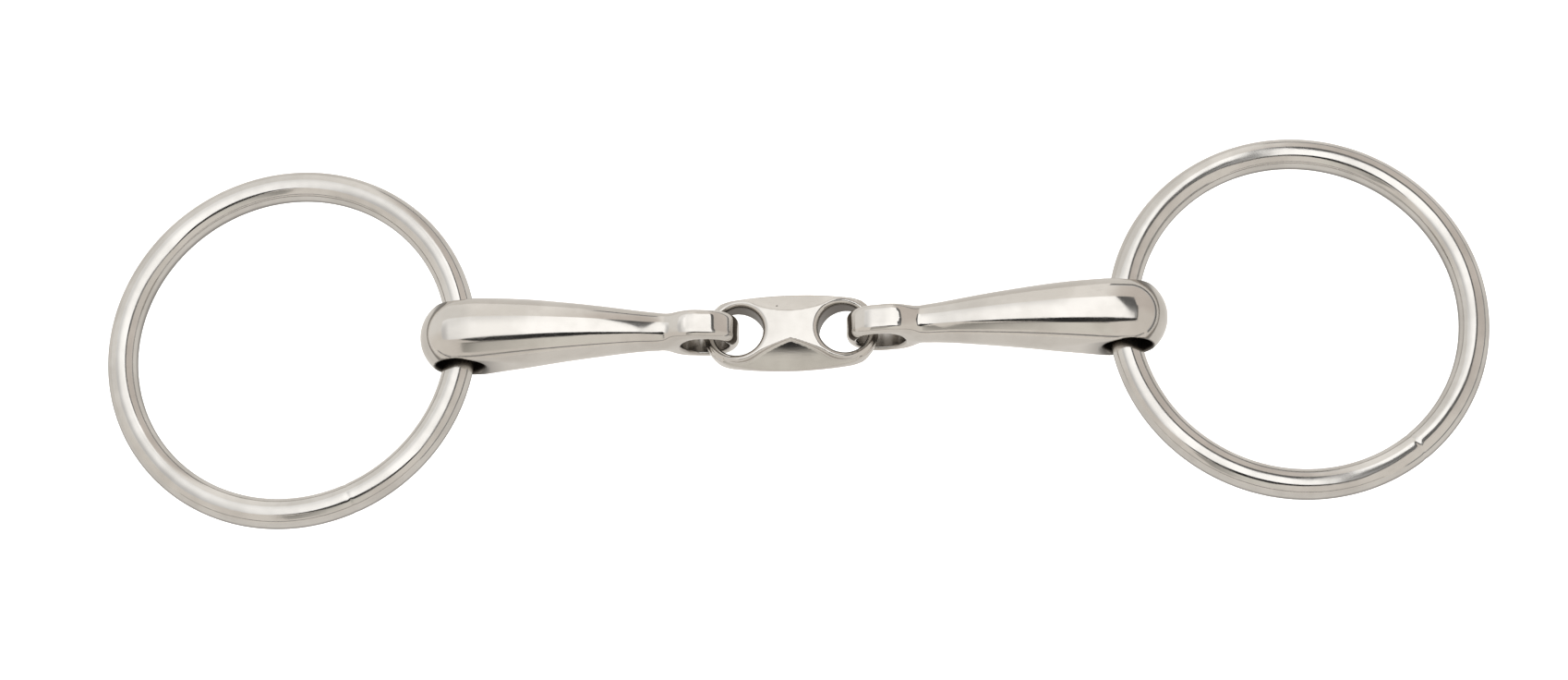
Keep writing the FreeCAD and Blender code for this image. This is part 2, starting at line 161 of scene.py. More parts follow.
# -------------------------------------------------------------- implicit shapes
def soft_union(a, b, blend):
    """Two distance fields joined with a fillet of about that size."""
    share = np.clip(0.5 + 0.5 * (b - a) / blend, 0.0, 1.0)
    return b * (1 - share) + a * share - blend * share * (1 - share)


def round_cut(a, b, edge):
    """What lies in both fields, with the edge between them rounded to that radius."""
    corner = np.hypot(np.maximum(a + edge, 0), np.maximum(b + edge, 0))
    return np.minimum(np.maximum(a, b), -edge) + corner


def through_points(stations, values):
    """A natural cubic spline through a few stations, as a function."""
    s, v = np.array(stations, float), np.array(values, float)
    gap = np.diff(s)
    size = len(s)
    matrix, right = np.eye(size), np.zeros(size)
    for i in range(1, size - 1):
        matrix[i, i - 1 : i + 2] = gap[i - 1], 2 * (gap[i - 1] + gap[i]), gap[i]
        right[i] = 6 * ((v[i + 1] - v[i]) / gap[i] - (v[i] - v[i - 1]) / gap[i - 1])
    bend = np.linalg.solve(matrix, right)

    def curve(at):
        at = np.clip(at, s[0], s[-1])
        i = np.clip(np.searchsorted(s, at) - 1, 0, size - 2)
        ahead, behind = (s[i + 1] - at) / gap[i], (at - s[i]) / gap[i]
        bow = (ahead**3 - ahead) * bend[i] + (behind**3 - behind) * bend[i + 1]
        return ahead * v[i] + behind * v[i + 1] + bow * gap[i] ** 2 / 6

    return curve


def slot_field(x, z, near, far, radius):
    """Distance to a slot's outline along X: two half circles and two straights."""
    return np.hypot(x - np.clip(x, near, far), z) - radius


half_height = through_points([a[0] for a in ARM_SECTIONS], [a[1] for a in ARM_SECTIONS])
half_width = through_points([a[0] for a in ARM_SECTIONS], [a[2] for a in ARM_SECTIONS])


def bore_field(x, y, z):
    """Positive inside the ring's hole through the arm, mouths rounded like a bell."""
    out = np.hypot(x, z)
    far = np.abs(y)
    bell = BORE_RADIUS + BELL_RADIUS
    wall = BORE_RADIUS - out
    curl = np.hypot(out - bell, far - BORE_STRAIGHT) - BELL_RADIUS
    beyond = far - BORE_STRAIGHT - BELL_RADIUS
    return np.where(far <= BORE_STRAIGHT, wall, np.where(out < bell, curl, beyond))


EYE_SLOPE = BOW_ANGLE - EYE_REACH / BOW_RADIUS
EYE_START_X = BOW_RADIUS * (sin(BOW_ANGLE) - sin(EYE_SLOPE))
EYE_START_Z = BOW_RADIUS * (cos(EYE_SLOPE) - cos(BOW_ANGLE))


def eye_run(x, z):
    """Distance along and above the straight run that carries the eye."""
    ahead = (x - EYE_START_X) * cos(EYE_SLOPE) + (z - EYE_START_Z) * sin(EYE_SLOPE)
    above = (z - EYE_START_Z) * cos(EYE_SLOPE) - (x - EYE_START_X) * sin(EYE_SLOPE)
    return ahead, above


def eye_hole_field(x, z):
    """Negative inside the eye's opening."""
    ahead, above = eye_run(x, z)
    return slot_field(ahead, above, *EYE_HOLE, EYE_HOLE_RADIUS)


def arm_field(p):
    """Distance to a mouth arm, with X from its bore to its eye and Z up."""
    x, y, z = p[..., 0], p[..., 1], p[..., 2]
    across, down = BOW_RADIUS * sin(BOW_ANGLE), BOW_RADIUS * cos(BOW_ANGLE)
    ahead, above = eye_run(x, z)
    along = BOW_RADIUS * (BOW_ANGLE + np.arctan2(x - across, z + down))
    up = np.hypot(x - across, z + down) - BOW_RADIUS
    tall, wide = half_height(along), half_width(along)
    taper = (np.hypot(up / tall, y / wide) - 1) * np.minimum(tall, wide)
    taper = np.maximum(taper, np.maximum(-along, along - ARM_SECTIONS[-1][0]))
    ball = np.sqrt(x**2 + y**2 + z**2) - END_RADIUS

    sides = np.abs(y) - EYE_HALF_WIDTH
    eye = round_cut(slot_field(ahead, above, *EYE_OUTER, EYE_RADIUS), sides, EYE_EDGE)

    solid = soft_union(taper, eye, EYE_BLEND)
    solid = round_cut(solid, -eye_hole_field(x, z), EYE_HOLE_EDGE)
    solid = np.minimum(solid, ball)
    return round_cut(solid, bore_field(x, y, z), BORE_EDGE)


def arch_radius_of(half, high, low):
    """Radius of the arch that drops from high to low over a half length."""
    return (half**2 + (high - low) ** 2) / (2 * (high - low))


def near_arc_centre():
    """Centre of the arc that leaves the near peak and touches the round of an opening."""
    peak, round_centre = np.array((0.0, -RAISED_WAIST)), np.array((SLOT_CENTRE, 0.0))
    apart = round_centre - peak
    length = np.linalg.norm(apart)
    outer = NEAR_ARC_RADIUS + RAISED_END_RADIUS
    along = (length**2 + NEAR_ARC_RADIUS**2 - outer**2) / (2 * length)
    off = np.sqrt(NEAR_ARC_RADIUS**2 - along**2)
    ahead = apart / length
    return peak + along * ahead + off * np.array((ahead[1], -ahead[0]))


def oval_field(x, wide):
    """Distance to the link's outline: an end arc and a side arc that touch."""
    end_x = LINK_HALF_LENGTH - LINK_END_RADIUS
    side_radius = (end_x**2 + LINK_HALF_WIDTH**2 - LINK_END_RADIUS**2) / (
        2 * (LINK_HALF_WIDTH - LINK_END_RADIUS)
    )
    side_y = side_radius - LINK_HALF_WIDTH
    on_side = np.arctan2(x, wide + side_y) < atan2(end_x, side_y)
    return np.where(
        on_side,
        np.hypot(x, wide + side_y) - side_radius,
        np.hypot(x - end_x, wide) - LINK_END_RADIUS,
    )


def raised_outline_field(x, y):
    """Distance to the raised face's outline.

    It goes round each opening, along one arc on the far edge, and along two arcs that
    meet in a peak on the near edge.
    """
    far_radius = (SLOT_CENTRE**2 + RAISED_FAR**2 - RAISED_END_RADIUS**2) / (
        2 * (RAISED_END_RADIUS - RAISED_FAR)
    )
    far_y = RAISED_FAR + far_radius
    to_far = hypot(SLOT_CENTRE, far_y)
    near_x, near_y = near_arc_centre()
    to_near = hypot(SLOT_CENTRE - near_x, near_y)
    disc = np.hypot(x - SLOT_CENTRE, y) - RAISED_END_RADIUS
    # the arcs' strap ends on the lines through the disc's centre where it meets the disc
    strap = np.maximum.reduce([
        far_radius - np.hypot(x, y - far_y),
        NEAR_ARC_RADIUS - np.hypot(x - near_x, y - near_y),
        ((x - SLOT_CENTRE) * far_y + y * SLOT_CENTRE) / to_far,
        (y * (near_x - SLOT_CENTRE) - (x - SLOT_CENTRE) * near_y) / to_near,
    ])
    return np.minimum(disc, strap)


def link_field(p):
    """Distance to the centre link, lying flat, its long way along X."""
    x, y, z = np.abs(p[..., 0]), p[..., 1], np.abs(p[..., 2])
    oval = oval_field(x, np.abs(y))
    # flanks fall away to the rim, each on an arc of its own
    inset = FLANK_RADIUS * sin(FLANK_SLOPE) - FLANK_START
    below = FLANK_RADIUS * cos(FLANK_SLOPE) - FLANK_HEIGHT
    flank = np.hypot(np.abs(y) + inset, z + below) - FLANK_RADIUS
    arch_radius = arch_radius_of(LINK_HALF_LENGTH, RAISED_HALF, RAISED_END_HALF)
    arch = np.hypot(x, z + arch_radius - RAISED_HALF) - arch_radius
    body = round_cut(round_cut(oval, flank, LINK_EDGE), arch + FLANK_SINK, WAIST_EDGE)

    along = np.clip((x - WAIST_RUN[0]) / (WAIST_RUN[1] - WAIST_RUN[0]), 0, 1)
    edge = WAIST_EDGE + (BEAD_EDGE - WAIST_EDGE) * along**2 * (3 - 2 * along)
    raised = round_cut(raised_outline_field(x, y), arch, edge)
    raised = np.maximum(raised, oval)

    hole = np.hypot(x - SLOT_CENTRE, y) - SLOT_RADIUS
    return round_cut(soft_union(body, raised, RAISED_BLEND), -hole, SLOT_EDGE)


# ---------------------------------------------------------------------- meshing
def gradient(field, points, step=0.02):
    """Slope of a field at some points."""
    slopes = np.empty_like(points)
    for axis in range(3):
        shift = np.zeros(3)
        shift[axis] = step
        slopes[:, axis] = (field(points + shift) - field(points - shift)) / (2 * step)
    return slopes


def onto_surface(field, points, rounds=3, least_steep=0.05):
    """Points moved along the field's slope until they lie on the surface."""
    for _ in range(rounds):
        slopes = gradient(field, points)
        steep = np.maximum((slopes**2).sum(1), least_steep)
        points = points - (field(points) / steep)[:, None] * slopes
    return points


def surface_net(field, low, high, pitch):
    """A closed quad mesh of the surface where a field is zero, one point per cell."""
    counts = [int(np.ceil((h - l) / pitch)) + 1 for l, h in zip(low, high)]
    axes = [l + pitch * np.arange(n) for l, n in zip(low, counts)]
    grid = np.stack(np.meshgrid(*axes, indexing="ij"), -1)
    values = field(grid)
    inside = values < 0
    cells = [n - 1 for n in counts]

    # each cell's point: the mean of the places where the surface cuts the cell's edges
    total = np.zeros((*cells, 3))
    hits = np.zeros(cells)
    cuts = []
    for axis in range(3):
        near = [slice(None)] * 3
        far = [slice(None)] * 3
        near[axis], far[axis] = slice(None, -1), slice(1, None)
        near, far = tuple(near), tuple(far)
        a, b = values[near], values[far]
        crossed = inside[near] != inside[far]
        share = np.where(crossed, a / np.where(crossed, a - b, 1.0), 0.0)
        place = grid[near].copy()
        place[..., axis] += share * pitch
        place *= crossed[..., None]
        cuts.append((crossed, inside[near]))
        u, v = [k for k in range(3) if k != axis]
        for du in (0, 1):
            for dv in (0, 1):
                window = [slice(None)] * 3
                window[u] = slice(du, du + cells[u])
                window[v] = slice(dv, dv + cells[v])
                total += place[tuple(window)]
                hits += crossed[tuple(window)]
    used = hits > 0
    number = np.full(cells, -1)
    number[used] = np.arange(used.sum())
    points = total[used] / hits[used][:, None]

    # each cut edge is crossed by one quad that joins the points of the four cells round it
    quads = []
    for axis, (crossed, solid_near) in enumerate(cuts):
        u, v = [(1, 2), (2, 0), (0, 1)][axis]
        at = np.argwhere(crossed)
        across = at[:, [u, v]]
        at = at[((across > 0) & (across < [cells[u], cells[v]])).all(1)]
        corners = []
        for du, dv in ((1, 1), (0, 1), (0, 0), (1, 0)):
            cell = at.copy()
            cell[:, u] -= du
            cell[:, v] -= dv
            corners.append(number[tuple(cell.T)])
        ring = np.stack(corners, 1)
        flip = ~solid_near[tuple(at.T)]
        ring[flip] = ring[flip][:, ::-1]
        quads.append(ring)
    return points, np.concatenate(quads)


def relax(field, points, quads, rounds=6, pull=0.5):
    """Even out the mesh by pulling each point towards its neighbours, on the surface."""
    pairs = np.concatenate([quads[:, [i, (i + 1) % 4]] for i in range(4)])
    pairs = np.concatenate([pairs, pairs[:, ::-1]])
    count = np.bincount(pairs[:, 0], minlength=len(points))[:, None]
    for _ in range(rounds):
        total = np.stack(
            [np.bincount(pairs[:, 0], points[pairs[:, 1], k], len(points)) for k in range(3)],
            1,
        )
        points = onto_surface(field, (1 - pull) * points + pull * total / count, 1)
    return onto_surface(field, points)


def mesh_piece(name, points, quads, normals):
    """A smooth-shaded object from points in metres."""
    mesh = bpy.data.meshes.new(name)
    mesh.from_pydata(points.tolist(), [], quads.tolist())
    mesh.polygons.foreach_set("use_smooth", np.ones(len(mesh.polygons), bool))
    mesh.normals_split_custom_set_from_vertices(normals.tolist())
    mesh.validate()
    piece = bpy.data.objects.new(name, mesh)
    bpy.context.scene.collection.objects.link(piece)
    return piece


def mark(piece, name, values):
    """Store one number or one vector for each point of a piece, for its material."""
    values = np.asarray(values, np.float32)
    kind, field = ("FLOAT", "value") if values.ndim == 1 else ("FLOAT_VECTOR", "vector")
    layer = piece.data.attributes.new(name, kind, "POINT")
    layer.data.foreach_set(field, values.ravel())


def cast_piece(name, field, low, high, pitch, place, painted_shade):
    """An object from a distance field, placed in the CAD frame by a 4x4 matrix in mm."""
    points, quads = surface_net(field, low, high, pitch)
    points = relax(field, onto_surface(field, points), quads)
    normals = gradient(field, points)
    normals /= np.linalg.norm(normals, axis=1)[:, None]
    turn, shift = np.array(place)[:3, :3], np.array(place)[:3, 3]
    piece = mesh_piece(name, (points @ turn.T + shift) * MM, quads, normals @ turn.T)
    mark(piece, "grain", points / (GRAIN_STRETCH, 1, 1))
    mark(piece, "grain_turn", np.zeros(len(points)))
    # painted shade on hollow walls, stored for the material
    mark(piece, "painted_shade", painted_shade(points))
    return piece


# ----------------------------------------------------------------------- pieces
def ring_piece(side_name, side):
    """Round wire bent to a circle; it leans from the arm's bore down to the table.

    The wire is a grid of rings of points: turn goes round the ring, roll round the wire.
    """
    held = Vector(joints[f"{side_name}_ring_swing"]["pos_m"]) / MM
    lean = asin((held.z - WIRE_RADIUS) / (2 * RING_RADIUS))
    centre = held + side * RING_RADIUS * Vector((cos(lean), 0, -side * sin(lean)))
    at_weld = WELD_TURN[side_name]
    turn = np.linspace(0, 2 * pi, RING_STEPS, endpoint=False)[:, None]
    turn = turn - WELD_CROWDING * np.sin(turn - at_weld)
    roll = np.linspace(0, 2 * pi, WIRE_STEPS, endpoint=False)[None, :]
    turn, roll = np.broadcast_arrays(turn, roll)
    out = np.stack([np.cos(turn), np.sin(turn), 0 * turn], -1)
    normals = np.cos(roll)[..., None] * out + np.sin(roll)[..., None] * np.array([0, 0, 1.0])

    # the weld's waist, and the slope it gives to the wire's normals
    from_weld = (turn - at_weld + pi) % (2 * pi) - pi
    dip = WELD_DEPTH * np.exp(-((from_weld / WELD_WIDTH) ** 2))
    points = RING_RADIUS * out + (WIRE_RADIUS - dip)[..., None] * normals
    slope = 2 * dip * from_weld / WELD_WIDTH**2 / (RING_RADIUS + WIRE_RADIUS * np.cos(roll))
    ahead = np.stack([-np.sin(turn), np.cos(turn), 0 * turn], -1)
    normals = (normals - slope[..., None] * ahead) / np.hypot(1, slope)[..., None]

    tilt = np.array(Matrix.Rotation(side * lean, 3, "Y"))
    points = points.reshape(-1, 3) @ tilt.T + np.array(centre)
    normals = normals.reshape(-1, 3) @ tilt.T
    i, k = np.meshgrid(np.arange(RING_STEPS), np.arange(WIRE_STEPS), indexing="ij")
    i_next, k_next = (i + 1) % RING_STEPS, (k + 1) % WIRE_STEPS
    corners = [(i, k), (i_next, k), (i_next, k_next), (i, k_next)]
    quads = np.stack([a * WIRE_STEPS + b for a, b in corners], -1).reshape(-1, 4)
    piece = mesh_piece(f"{side_name}_ring_wire", points * MM, quads, normals)
    girth, length = WIRE_RADIUS, RING_RADIUS / GRAIN_STRETCH
    grain = np.stack([girth * np.cos(roll), girth * np.sin(roll), length * np.cos(turn)], -1)
    mark(piece, "grain", grain.reshape(-1, 3))
    mark(piece, "grain_turn", (length * np.sin(turn)).ravel())
    # the wire carries no painted shade
    mark(piece, "painted_shade", np.zeros(points.shape[0]))
    return piece


def arm_painted_shade(points):
    """Painted shade on the arm, which is also duller there: fully inside the bore, and a little
    inside the eye.
    """
    x, y, z = points.T
    reach = BELL_RADIUS * BORE_SHADE_RUN
    bore = np.clip((BORE_RADIUS + reach - np.hypot(x, z)) / reach, 0, 1)
    bore *= np.abs(y) < END_RADIUS
    eye = np.clip(1 - (eye_hole_field(x, z) - EYE_SHADE_START) / EYE_HOLE_EDGE, 0, 1)
    return np.maximum(bore, EYE_PAINTED_SHADE * eye * (x > EYE_START_X))


def link_painted_shade(points):
    """Painted shade on the link, which is also duller there: on the walls of its openings."""
    x, y, _ = np.abs(points.T)
    wall = np.hypot(x - SLOT_CENTRE, y) - SLOT_RADIUS
    run = LINK_SHADE_RUN * SLOT_EDGE
    return LINK_PAINTED_SHADE * np.clip(1 - (wall - LINK_SHADE_START) / run, 0, 1)


def arm_piece(side_name, side):
    """Mouth arm: bored ball end, bowed taper, neck and closed eye."""
    pivot = Vector(joints[f"{side_name}_arm_fold"]["pos_m"]) / MM
    to_eye = EYE_HOLE[1]
    eye_x = EYE_START_X + to_eye * cos(EYE_SLOPE)
    eye_z = EYE_START_Z + to_eye * sin(EYE_SLOPE)
    bore = pivot + Vector((side * eye_x, 0, -eye_z))
    heading = Matrix.Rotation(0.0 if side < 0 else pi, 4, "Z")
    room = END_RADIUS + ARM_ROOM
    low, high = (-room, -room, -room), (ARM_REACH, room, ARM_RISE)
    place = Matrix.Translation(bore) @ heading
    name = f"{side_name}_arm_casting"
    return cast_piece(name, arm_field, low, high, ARM_PITCH, place, arm_painted_shade)


def link_piece():
    """Centre link: an oval with falling flanks, two raised waisted faces, two openings."""
    low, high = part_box("centre_link")
    place = Matrix.Translation((0, 0, (low.z + high.z) / 2 / MM))
    reach = [half + LINK_ROOM for half in (LINK_HALF_LENGTH, LINK_HALF_WIDTH, RAISED_HALF)]
    low = [-r for r in reach]
    name = "centre_link_casting"
    return cast_piece(name, link_field, low, reach, LINK_PITCH, place, link_painted_shade)


# -------------------------------------------------------------------- materials
# Linear colours. A span is where a noise starts and stops to act; a pair named with it
# holds the effect at both ends.
SCRATCH_TONE = (0.30, 0.28, 0.25)
PIT_TONE = (0.10, 0.09, 0.08)
# Dark colour painted on hollow walls as shade, and the roughness added there too.
PAINTED_SHADE_TONE = (0.085, 0.072, 0.06)
SHADED_WALL_ROUGHNESS = 0.3
LINE_SCALE = 2.6
LINE_TONE_SPAN, LINE_TONE_SHARE = (0.55, 0.75), (0.0, 0.10)
LINE_GLOSS_SPAN, LINE_ROUGHNESS = (0.45, 0.75), (0.0, 0.05)
SMUDGE_SCALE = 95.0
SMUDGE_TONE_SPAN = (0.35, 0.65)
SMUDGE_GLOSS_SPAN = (0.3, 0.7)
SMUDGE_GLOSS = (0.75, 1.35)
# Pits lie in cells of this scale whose random tone is above the chosen span. The rim is
# where a pit ends, as a share of its cell; the share is how strongly it darkens.
PIT_SCALE = 190.0
PIT_CHOSEN = (0.80, 0.82)
PIT_RIM = (0.028, 0.05)
PIT_SHARE = 0.75
PIT_DEPTH = 0.00003


class Tree:
    """The nodes of a material or a world: made here, and joined as they are made."""

    def __init__(self, owner):
        owner.use_nodes = True
        self.owner = owner
        self.nodes = owner.node_tree.nodes
        self.links = owner.node_tree.links

    def add(self, kind, inputs=None, **settings):
        """A node; an input's value is a number, a colour or another node's output."""
        made = self.nodes.new(f"ShaderNode{kind}")
        for key, value in settings.items():
            setattr(made, key, value)
        for key, value in (inputs or {}).items():
            self.feed(made.inputs[key], value)
        return made

    def feed(self, socket, value):
        """Set an input's value, or join another node's output to it."""
        if isinstance(value, bpy.types.NodeSocket):
            self.links.new(value, socket)
        else:
            socket.default_value = value

    def place(self, kind="Object"):
        """Texture coordinates of one kind."""
        return self.add("TexCoord").outputs[kind]

    def parts(self, vector):
        """A vector's X, Y and Z."""
        return self.add("SeparateXYZ", {"Vector": vector}).outputs

    def mark(self, name, output):
        """What the geometry stores under a name at each point."""
        return self.add("Attribute", attribute_name=name).outputs[output]

    def fit(self, value, span, out=(0.0, 1.0)):
        """A value's span carried smoothly onto another."""
        made = self.add(
            "MapRange",
            {"Value": value, "From Min": span[0], "From Max": span[1],
             "To Min": out[0], "To Max": out[1]},
            interpolation_type="SMOOTHSTEP",
        )
        return made.outputs["Result"]

    def math(self, operation, a, b=0.0):
        """The result of a sum; one that takes a single value leaves the second out."""
        made = self.add("Math", operation=operation)
        self.feed(made.inputs[0], a)
        self.feed(made.inputs[1], b)
        return made.outputs[0]

    def mix(self, share, a, b):
        """Two colours mixed; each is three numbers or another node's output."""
        made = self.add("Mix", {"Factor": share}, data_type="RGBA")
        for key, colour in (("A", a), ("B", b)):
            linked = isinstance(colour, bpy.types.NodeSocket)
            self.feed(made.inputs[key], colour if linked else (*colour, 1))
        return made.outputs["Result"]

    def bump(self, height, distance, normal=None, invert=False):
        """A normal tilted by a height; the distance is the height's full size in metres."""
        inputs = {"Height": height, "Distance": distance, "Strength": 1.0}
        if normal:
            inputs["Normal"] = normal
        return self.add("Bump", inputs, invert=invert).outputs["Normal"]


def steel(name, light, dark, roughness, wave_size, wave_height, line_height):
    """Polished stainless steel: faint ripples, polishing lines, smudges, small marks and
    painted shade on hollow walls.
    """
    tree = Tree(bpy.data.materials.new(name))
    shader = tree.nodes["Principled BSDF"]
    place = tree.place()
    grain = tree.mark("grain", "Vector")
    turn = tree.mark("grain_turn", "Fac")
    # painted shade on hollow walls, as stored on each piece
    painted_shade = tree.mark("painted_shade", "Fac")

    wave = tree.add(
        "TexNoise", {"Vector": place, "Scale": 1 / wave_size, "Detail": 1.0, "Roughness": 0.4}
    ).outputs["Fac"]
    lines = tree.add(
        "TexNoise",
        {"Vector": grain, "W": turn, "Scale": LINE_SCALE, "Detail": 4.0, "Roughness": 0.7},
        noise_dimensions="4D",
    ).outputs["Fac"]
    smudge = tree.add(
        "TexNoise", {"Vector": place, "Scale": SMUDGE_SCALE, "Detail": 3.0, "Roughness": 0.6}
    ).outputs["Fac"]
    cells = tree.add("TexVoronoi", {"Vector": place, "Scale": PIT_SCALE, "Randomness": 1.0})
    chosen = tree.fit(cells.outputs["Color"], PIT_CHOSEN)
    spot = tree.fit(cells.outputs["Distance"], PIT_RIM, (1.0, 0.0))
    pits = tree.math("MULTIPLY", chosen, spot)

    tone = tree.mix(tree.fit(smudge, SMUDGE_TONE_SPAN), light, dark)
    tone = tree.mix(tree.fit(lines, LINE_TONE_SPAN, LINE_TONE_SHARE), tone, SCRATCH_TONE)
    tone = tree.mix(tree.math("MULTIPLY", pits, PIT_SHARE), tone, PIT_TONE)
    # painted shade: hollow walls are darkened towards a near-black tone
    tone = tree.mix(painted_shade, tone, PAINTED_SHADE_TONE)
    tree.feed(shader.inputs["Base Color"], tone)
    shader.inputs["Metallic"].default_value = 1.0

    gloss = tree.fit(smudge, SMUDGE_GLOSS_SPAN, [roughness * part for part in SMUDGE_GLOSS])
    gloss = tree.math("ADD", gloss, tree.fit(lines, LINE_GLOSS_SPAN, LINE_ROUGHNESS))
    # the walls under painted shade are also made duller
    gloss = tree.math("ADD", gloss, tree.math("MULTIPLY", painted_shade, SHADED_WALL_ROUGHNESS))
    tree.feed(shader.inputs["Roughness"], gloss)

    rippled = tree.bump(wave, wave_height)
    lined = tree.bump(lines, line_height, rippled)
    pitted = tree.bump(pits, PIT_DEPTH, lined, invert=True)
    tree.feed(shader.inputs["Normal"], pitted)
    return tree.owner


# ------------------------------------------------------------ studio, in metres
WHITE = (1.0, 1.0, 1.0)
FLOOR_HEIGHT = -0.1
FLOOR_HALF = 6.0
FLOOR_TONES = (0.90, 0.90, 0.89), (0.93, 0.93, 0.92)
FLOOR_GRAIN = 900.0
FLOOR_GLOW = 0.62

# The sheen lies just above the table, and is dimmer this near to the rings' wire: a painted
# shadow of the rings.
SHEEN_HEIGHT = 0.00005
SHEEN_HALF = 0.6
SHEEN_SPAN = (0.002, 0.010)
SHEEN_RING_SHADOW, SHEEN_FAR = 0.30, 0.86
SHEEN_COLOUR = (1.0, 0.965, 0.92)

OVERHEAD_HEIGHT = 1.0
OVERHEAD_NEAR, OVERHEAD_FAR = -0.435, 0.88
BAR_HEIGHT = 0.995
UPRIGHT_DEPTH = -0.5
SKIRTING_FAR, SKIRTING_HEIGHT = 3.0, 0.42
SKIRTING_START, SKIRTING_TURN, SKIRTING_STEPS = -40, 125, 24

CAMERA_TARGET = Vector((-1.751, 0.324, 0)) * MM
CAMERA_DISTANCE = 0.7211
CAMERA_TILT = radians(19.749)
CAMERA_HEADING = radians(-8.789)
CAMERA_ROLL = radians(10.056)
CAMERA_LENS = 82.96


def level(points, height=OVERHEAD_HEIGHT):
    """Corners of a level sheet, from their X and Y."""
    return [(x, y, height) for x, y in points]


def upright(points):
    """Corners of an upright sheet on the near side, from their X and Z."""
    return [(x, UPRIGHT_DEPTH, z) for x, z in points]


def square(half, height):
    """Corners of a level square about the middle."""
    return level([(-half, -half), (half, -half), (half, half), (-half, half)], height)


def sheet(name, corners, faces=None):
    """A flat object of one face, or of the faces given, not yet staged."""
    mesh = bpy.data.meshes.new(name)
    mesh.from_pydata(corners, [], faces or [tuple(range(len(corners)))])
    made = bpy.data.objects.new(name, mesh)
    bpy.context.scene.collection.objects.link(made)
    return made


def glow(name, corners, strength, colour=WHITE, faces=None):
    """A sheet that is lit by itself and that only reflections and light rays see.

    strength takes the material's tree and the outputs for X, Y and Z, and gives the
    sheet's radiance.
    """
    board = sheet(name, corners, faces)
    tree = Tree(bpy.data.materials.new(name))
    tree.nodes.remove(tree.nodes["Principled BSDF"])
    radiance = strength(tree, tree.parts(tree.place()))
    light = tree.add("Emission", {"Color": (*colour, 1.0), "Strength": radiance})
    tree.feed(tree.nodes["Material Output"].inputs["Surface"], light.outputs[0])
    board.data.materials.append(tree.owner)
    board.visible_camera = False
    board.visible_shadow = False
    return board


def card(name, corners, radiance, colour=WHITE, fades=(), faces=None):
    """A studio card.

    fades holds (axis, from, to, radiance at to, weight axis and span or None): the
    card's radiance changes smoothly with place.
    """

    def strength(tree, place):
        value = radiance
        for axis, start, end, at_end, only in fades:
            share = tree.fit(place[axis], (start, end))
            if only:
                weight = tree.fit(place[only[0]], only[1:], (1.0, 0.0))
                share = tree.math("MULTIPLY", share, weight)
            inputs = {"Value": share, "To Min": value, "To Max": at_end}
            value = tree.add("MapRange", inputs).outputs["Result"]
        return value

    return glow(name, corners, strength, colour, faces)


def floor():
    """Plain pale floor, low enough to stay clear of arms and rings that swing down."""
    ground = sheet("floor", square(FLOOR_HALF, FLOOR_HEIGHT))
    tree = Tree(bpy.data.materials.new("floor"))
    shader = tree.nodes["Principled BSDF"]
    grain = {"Vector": tree.place(), "Scale": FLOOR_GRAIN, "Detail": 3.0}
    speckle = tree.add("TexNoise", grain).outputs["Fac"]
    tree.feed(shader.inputs["Base Color"], tree.mix(speckle, *FLOOR_TONES))
    shader.inputs["Roughness"].default_value = 0.9
    shader.inputs["Emission Color"].default_value = (1, 1, 1, 1)
    shader.inputs["Emission Strength"].default_value = FLOOR_GLOW
    ground.data.materials.append(tree.owner)


def world():
    """Pale room, brightest in the middle: warm and dimmer near by and at the far right."""
    tree = Tree(bpy.data.worlds.new("studio"))
    way = tree.parts(tree.place("Generated"))
    far_left, far_middle, far_right = (0.98, 0.96, 0.93), (1.12, 1.09, 1.05), (0.78, 0.72, 0.67)
    near_side = (0.90, 0.855, 0.80)
    far_side = tree.mix(tree.fit(way["X"], (-0.35, -0.1)), far_left, far_middle)
    far_side = tree.mix(tree.fit(way["X"], (0.0, 0.28)), far_side, far_right)
    room = tree.mix(tree.fit(way["Y"], (-0.2, 0.3)), near_side, far_side)
    tree.feed(tree.nodes["Background"].inputs["Color"], room)
    bpy.context.scene.world = tree.owner


def lights():
    """A big soft box overhead, the dark shapes round it, and what lies low in the room."""
    near, far = OVERHEAD_NEAR, OVERHEAD_FAR
    card(
        "overhead", level([(-1.15, near), (0.44, near), (0.27, far), (-1.15, far)]), 1.58,
        fades=[("X", -0.15, -0.95, 0.8, None), ("Y", 0.15, 0.88, 1.2, ("X", -0.15, 0.1))],
    )
    card(
        "dark_bar", level([
            (-0.46, -0.50), (-0.24, -0.66), (-0.10, -0.72), (0.12, -0.70), (0.57, -0.56),
            (0.57, near), (0.14, near + 0.06), (-0.04, near + 0.05), (-0.46, near),
        ], BAR_HEIGHT), 0.03,
    )
    card(
        "right_board",
        level([(0.44, near), (0.57, near), (0.57, 0.27), (0.46, far), (0.27, far)]), 0.5,
        fades=[("Y", -0.3, 0.3, 0.15, None)],
    )
    card("right_edge", level([(0.57, -0.55), (0.63, -0.55), (0.63, 0.30), (0.57, 0.27)]), 0.06)
    card(
        "person", upright([(-0.36, 0.70), (-0.22, 0.24), (0.10, 0.20), (0.10, 0.70)]), 0.42,
        (1.0, 0.97, 0.90),
        fades=[("X", -0.28, 0.02, 0.88, None), ("Z", 0.62, 0.70, 0.10, None)],
    )
    card("table_edge", upright([(-0.9, 0.11), (-0.9, 0.155), (0.5, 0.125), (0.5, 0.09)]), 0.25)
    skirting()
    sheen()


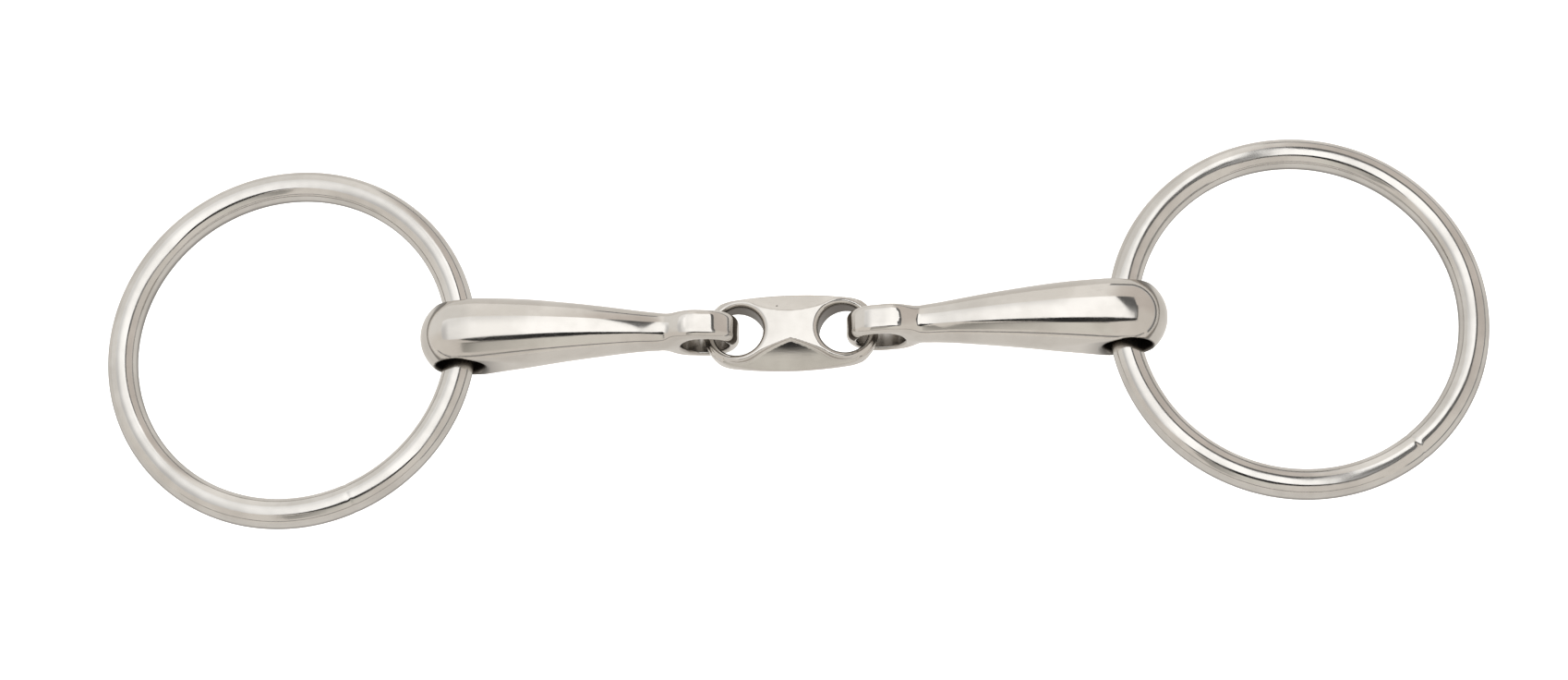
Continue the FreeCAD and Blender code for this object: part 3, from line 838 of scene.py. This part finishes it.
def skirting():
    """A dark strip far off, low down beyond the right ring, paler towards its top."""
    share = [i / SKIRTING_STEPS for i in range(SKIRTING_STEPS + 1)]
    turns = [radians(SKIRTING_START + SKIRTING_TURN * part) for part in share]
    corners = [
        (SKIRTING_FAR * cos(t), SKIRTING_FAR * sin(t), z)
        for t in turns for z in (0.0, SKIRTING_HEIGHT)
    ]
    faces = [(2 * i, 2 * i + 2, 2 * i + 3, 2 * i + 1) for i in range(SKIRTING_STEPS)]
    fades = [("Z", 0.2, SKIRTING_HEIGHT, 0.85, None)]
    card("skirting", corners, 0.15, fades=fades, faces=faces)


def sheen():
    """What the polished metal sees of the table under it, a sheet seen only in reflections,
    with painted shadow close to the rings.
    """
    low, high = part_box("right_ring")
    ring_x = (low.x + high.x) / 2

    def strength(tree, place):
        x = tree.math("SUBTRACT", tree.math("ABSOLUTE", place["X"]), ring_x)
        y = place["Y"]
        squares = tree.math("ADD", tree.math("MULTIPLY", x, x), tree.math("MULTIPLY", y, y))
        away = tree.math("SUBTRACT", tree.math("SQRT", squares), RING_RADIUS * MM)
        # painted shadow of the rings: the sheen dims within a few millimetres of each ring's
        # wire
        return tree.fit(tree.math("ABSOLUTE", away), SHEEN_SPAN, (SHEEN_RING_SHADOW, SHEEN_FAR))

    board = glow("sheen", square(SHEEN_HALF, SHEEN_HEIGHT), strength, SHEEN_COLOUR)
    board.visible_diffuse = False


def camera():
    """A long lens, high up on the near side, turned a little."""
    turn = Matrix.Rotation(CAMERA_ROLL, 3, "Z") @ Matrix.Rotation(-CAMERA_TILT, 3, "X")
    from_camera = (turn @ Matrix.Rotation(CAMERA_HEADING, 3, "Z")).transposed()
    data = bpy.data.cameras.new("camera")
    data.sensor_width = 36.0
    data.lens = CAMERA_LENS
    data.clip_start = 0.01
    data.clip_end = 100
    seen = bpy.data.objects.new("camera", data)
    eye = CAMERA_TARGET + from_camera @ Vector((0, 0, CAMERA_DISTANCE))
    seen.matrix_world = Matrix.Translation(eye) @ from_camera.to_4x4()
    bpy.context.scene.collection.objects.link(seen)
    bpy.context.scene.camera = seen


def dress(piece, material, node):
    """Give a piece its steel and the body it rides on, and hide the CAD node it stands for."""
    piece.data.materials.append(material)
    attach(piece, node)
    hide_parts(node)


camera()
floor()
world()
lights()
bpy.context.scene.view_settings.view_transform = "Standard"

ring_steel = steel(
    "ring_steel", light=(0.64, 0.62, 0.59), dark=(0.56, 0.54, 0.51),
    roughness=0.11, wave_size=0.009, wave_height=0.00009, line_height=2.5e-6,
)
cast_steel = steel(
    "cast_steel", light=(0.64, 0.615, 0.58), dark=(0.57, 0.545, 0.51),
    roughness=0.085, wave_size=0.011, wave_height=0.00007, line_height=1.5e-6,
)

for side_name, side in SIDES.items():
    dress(ring_piece(side_name, side), ring_steel, f"{side_name}_ring")
    dress(arm_piece(side_name, side), cast_steel, f"{side_name}_mouth_arm")
dress(link_piece(), cast_steel, "centre_link")
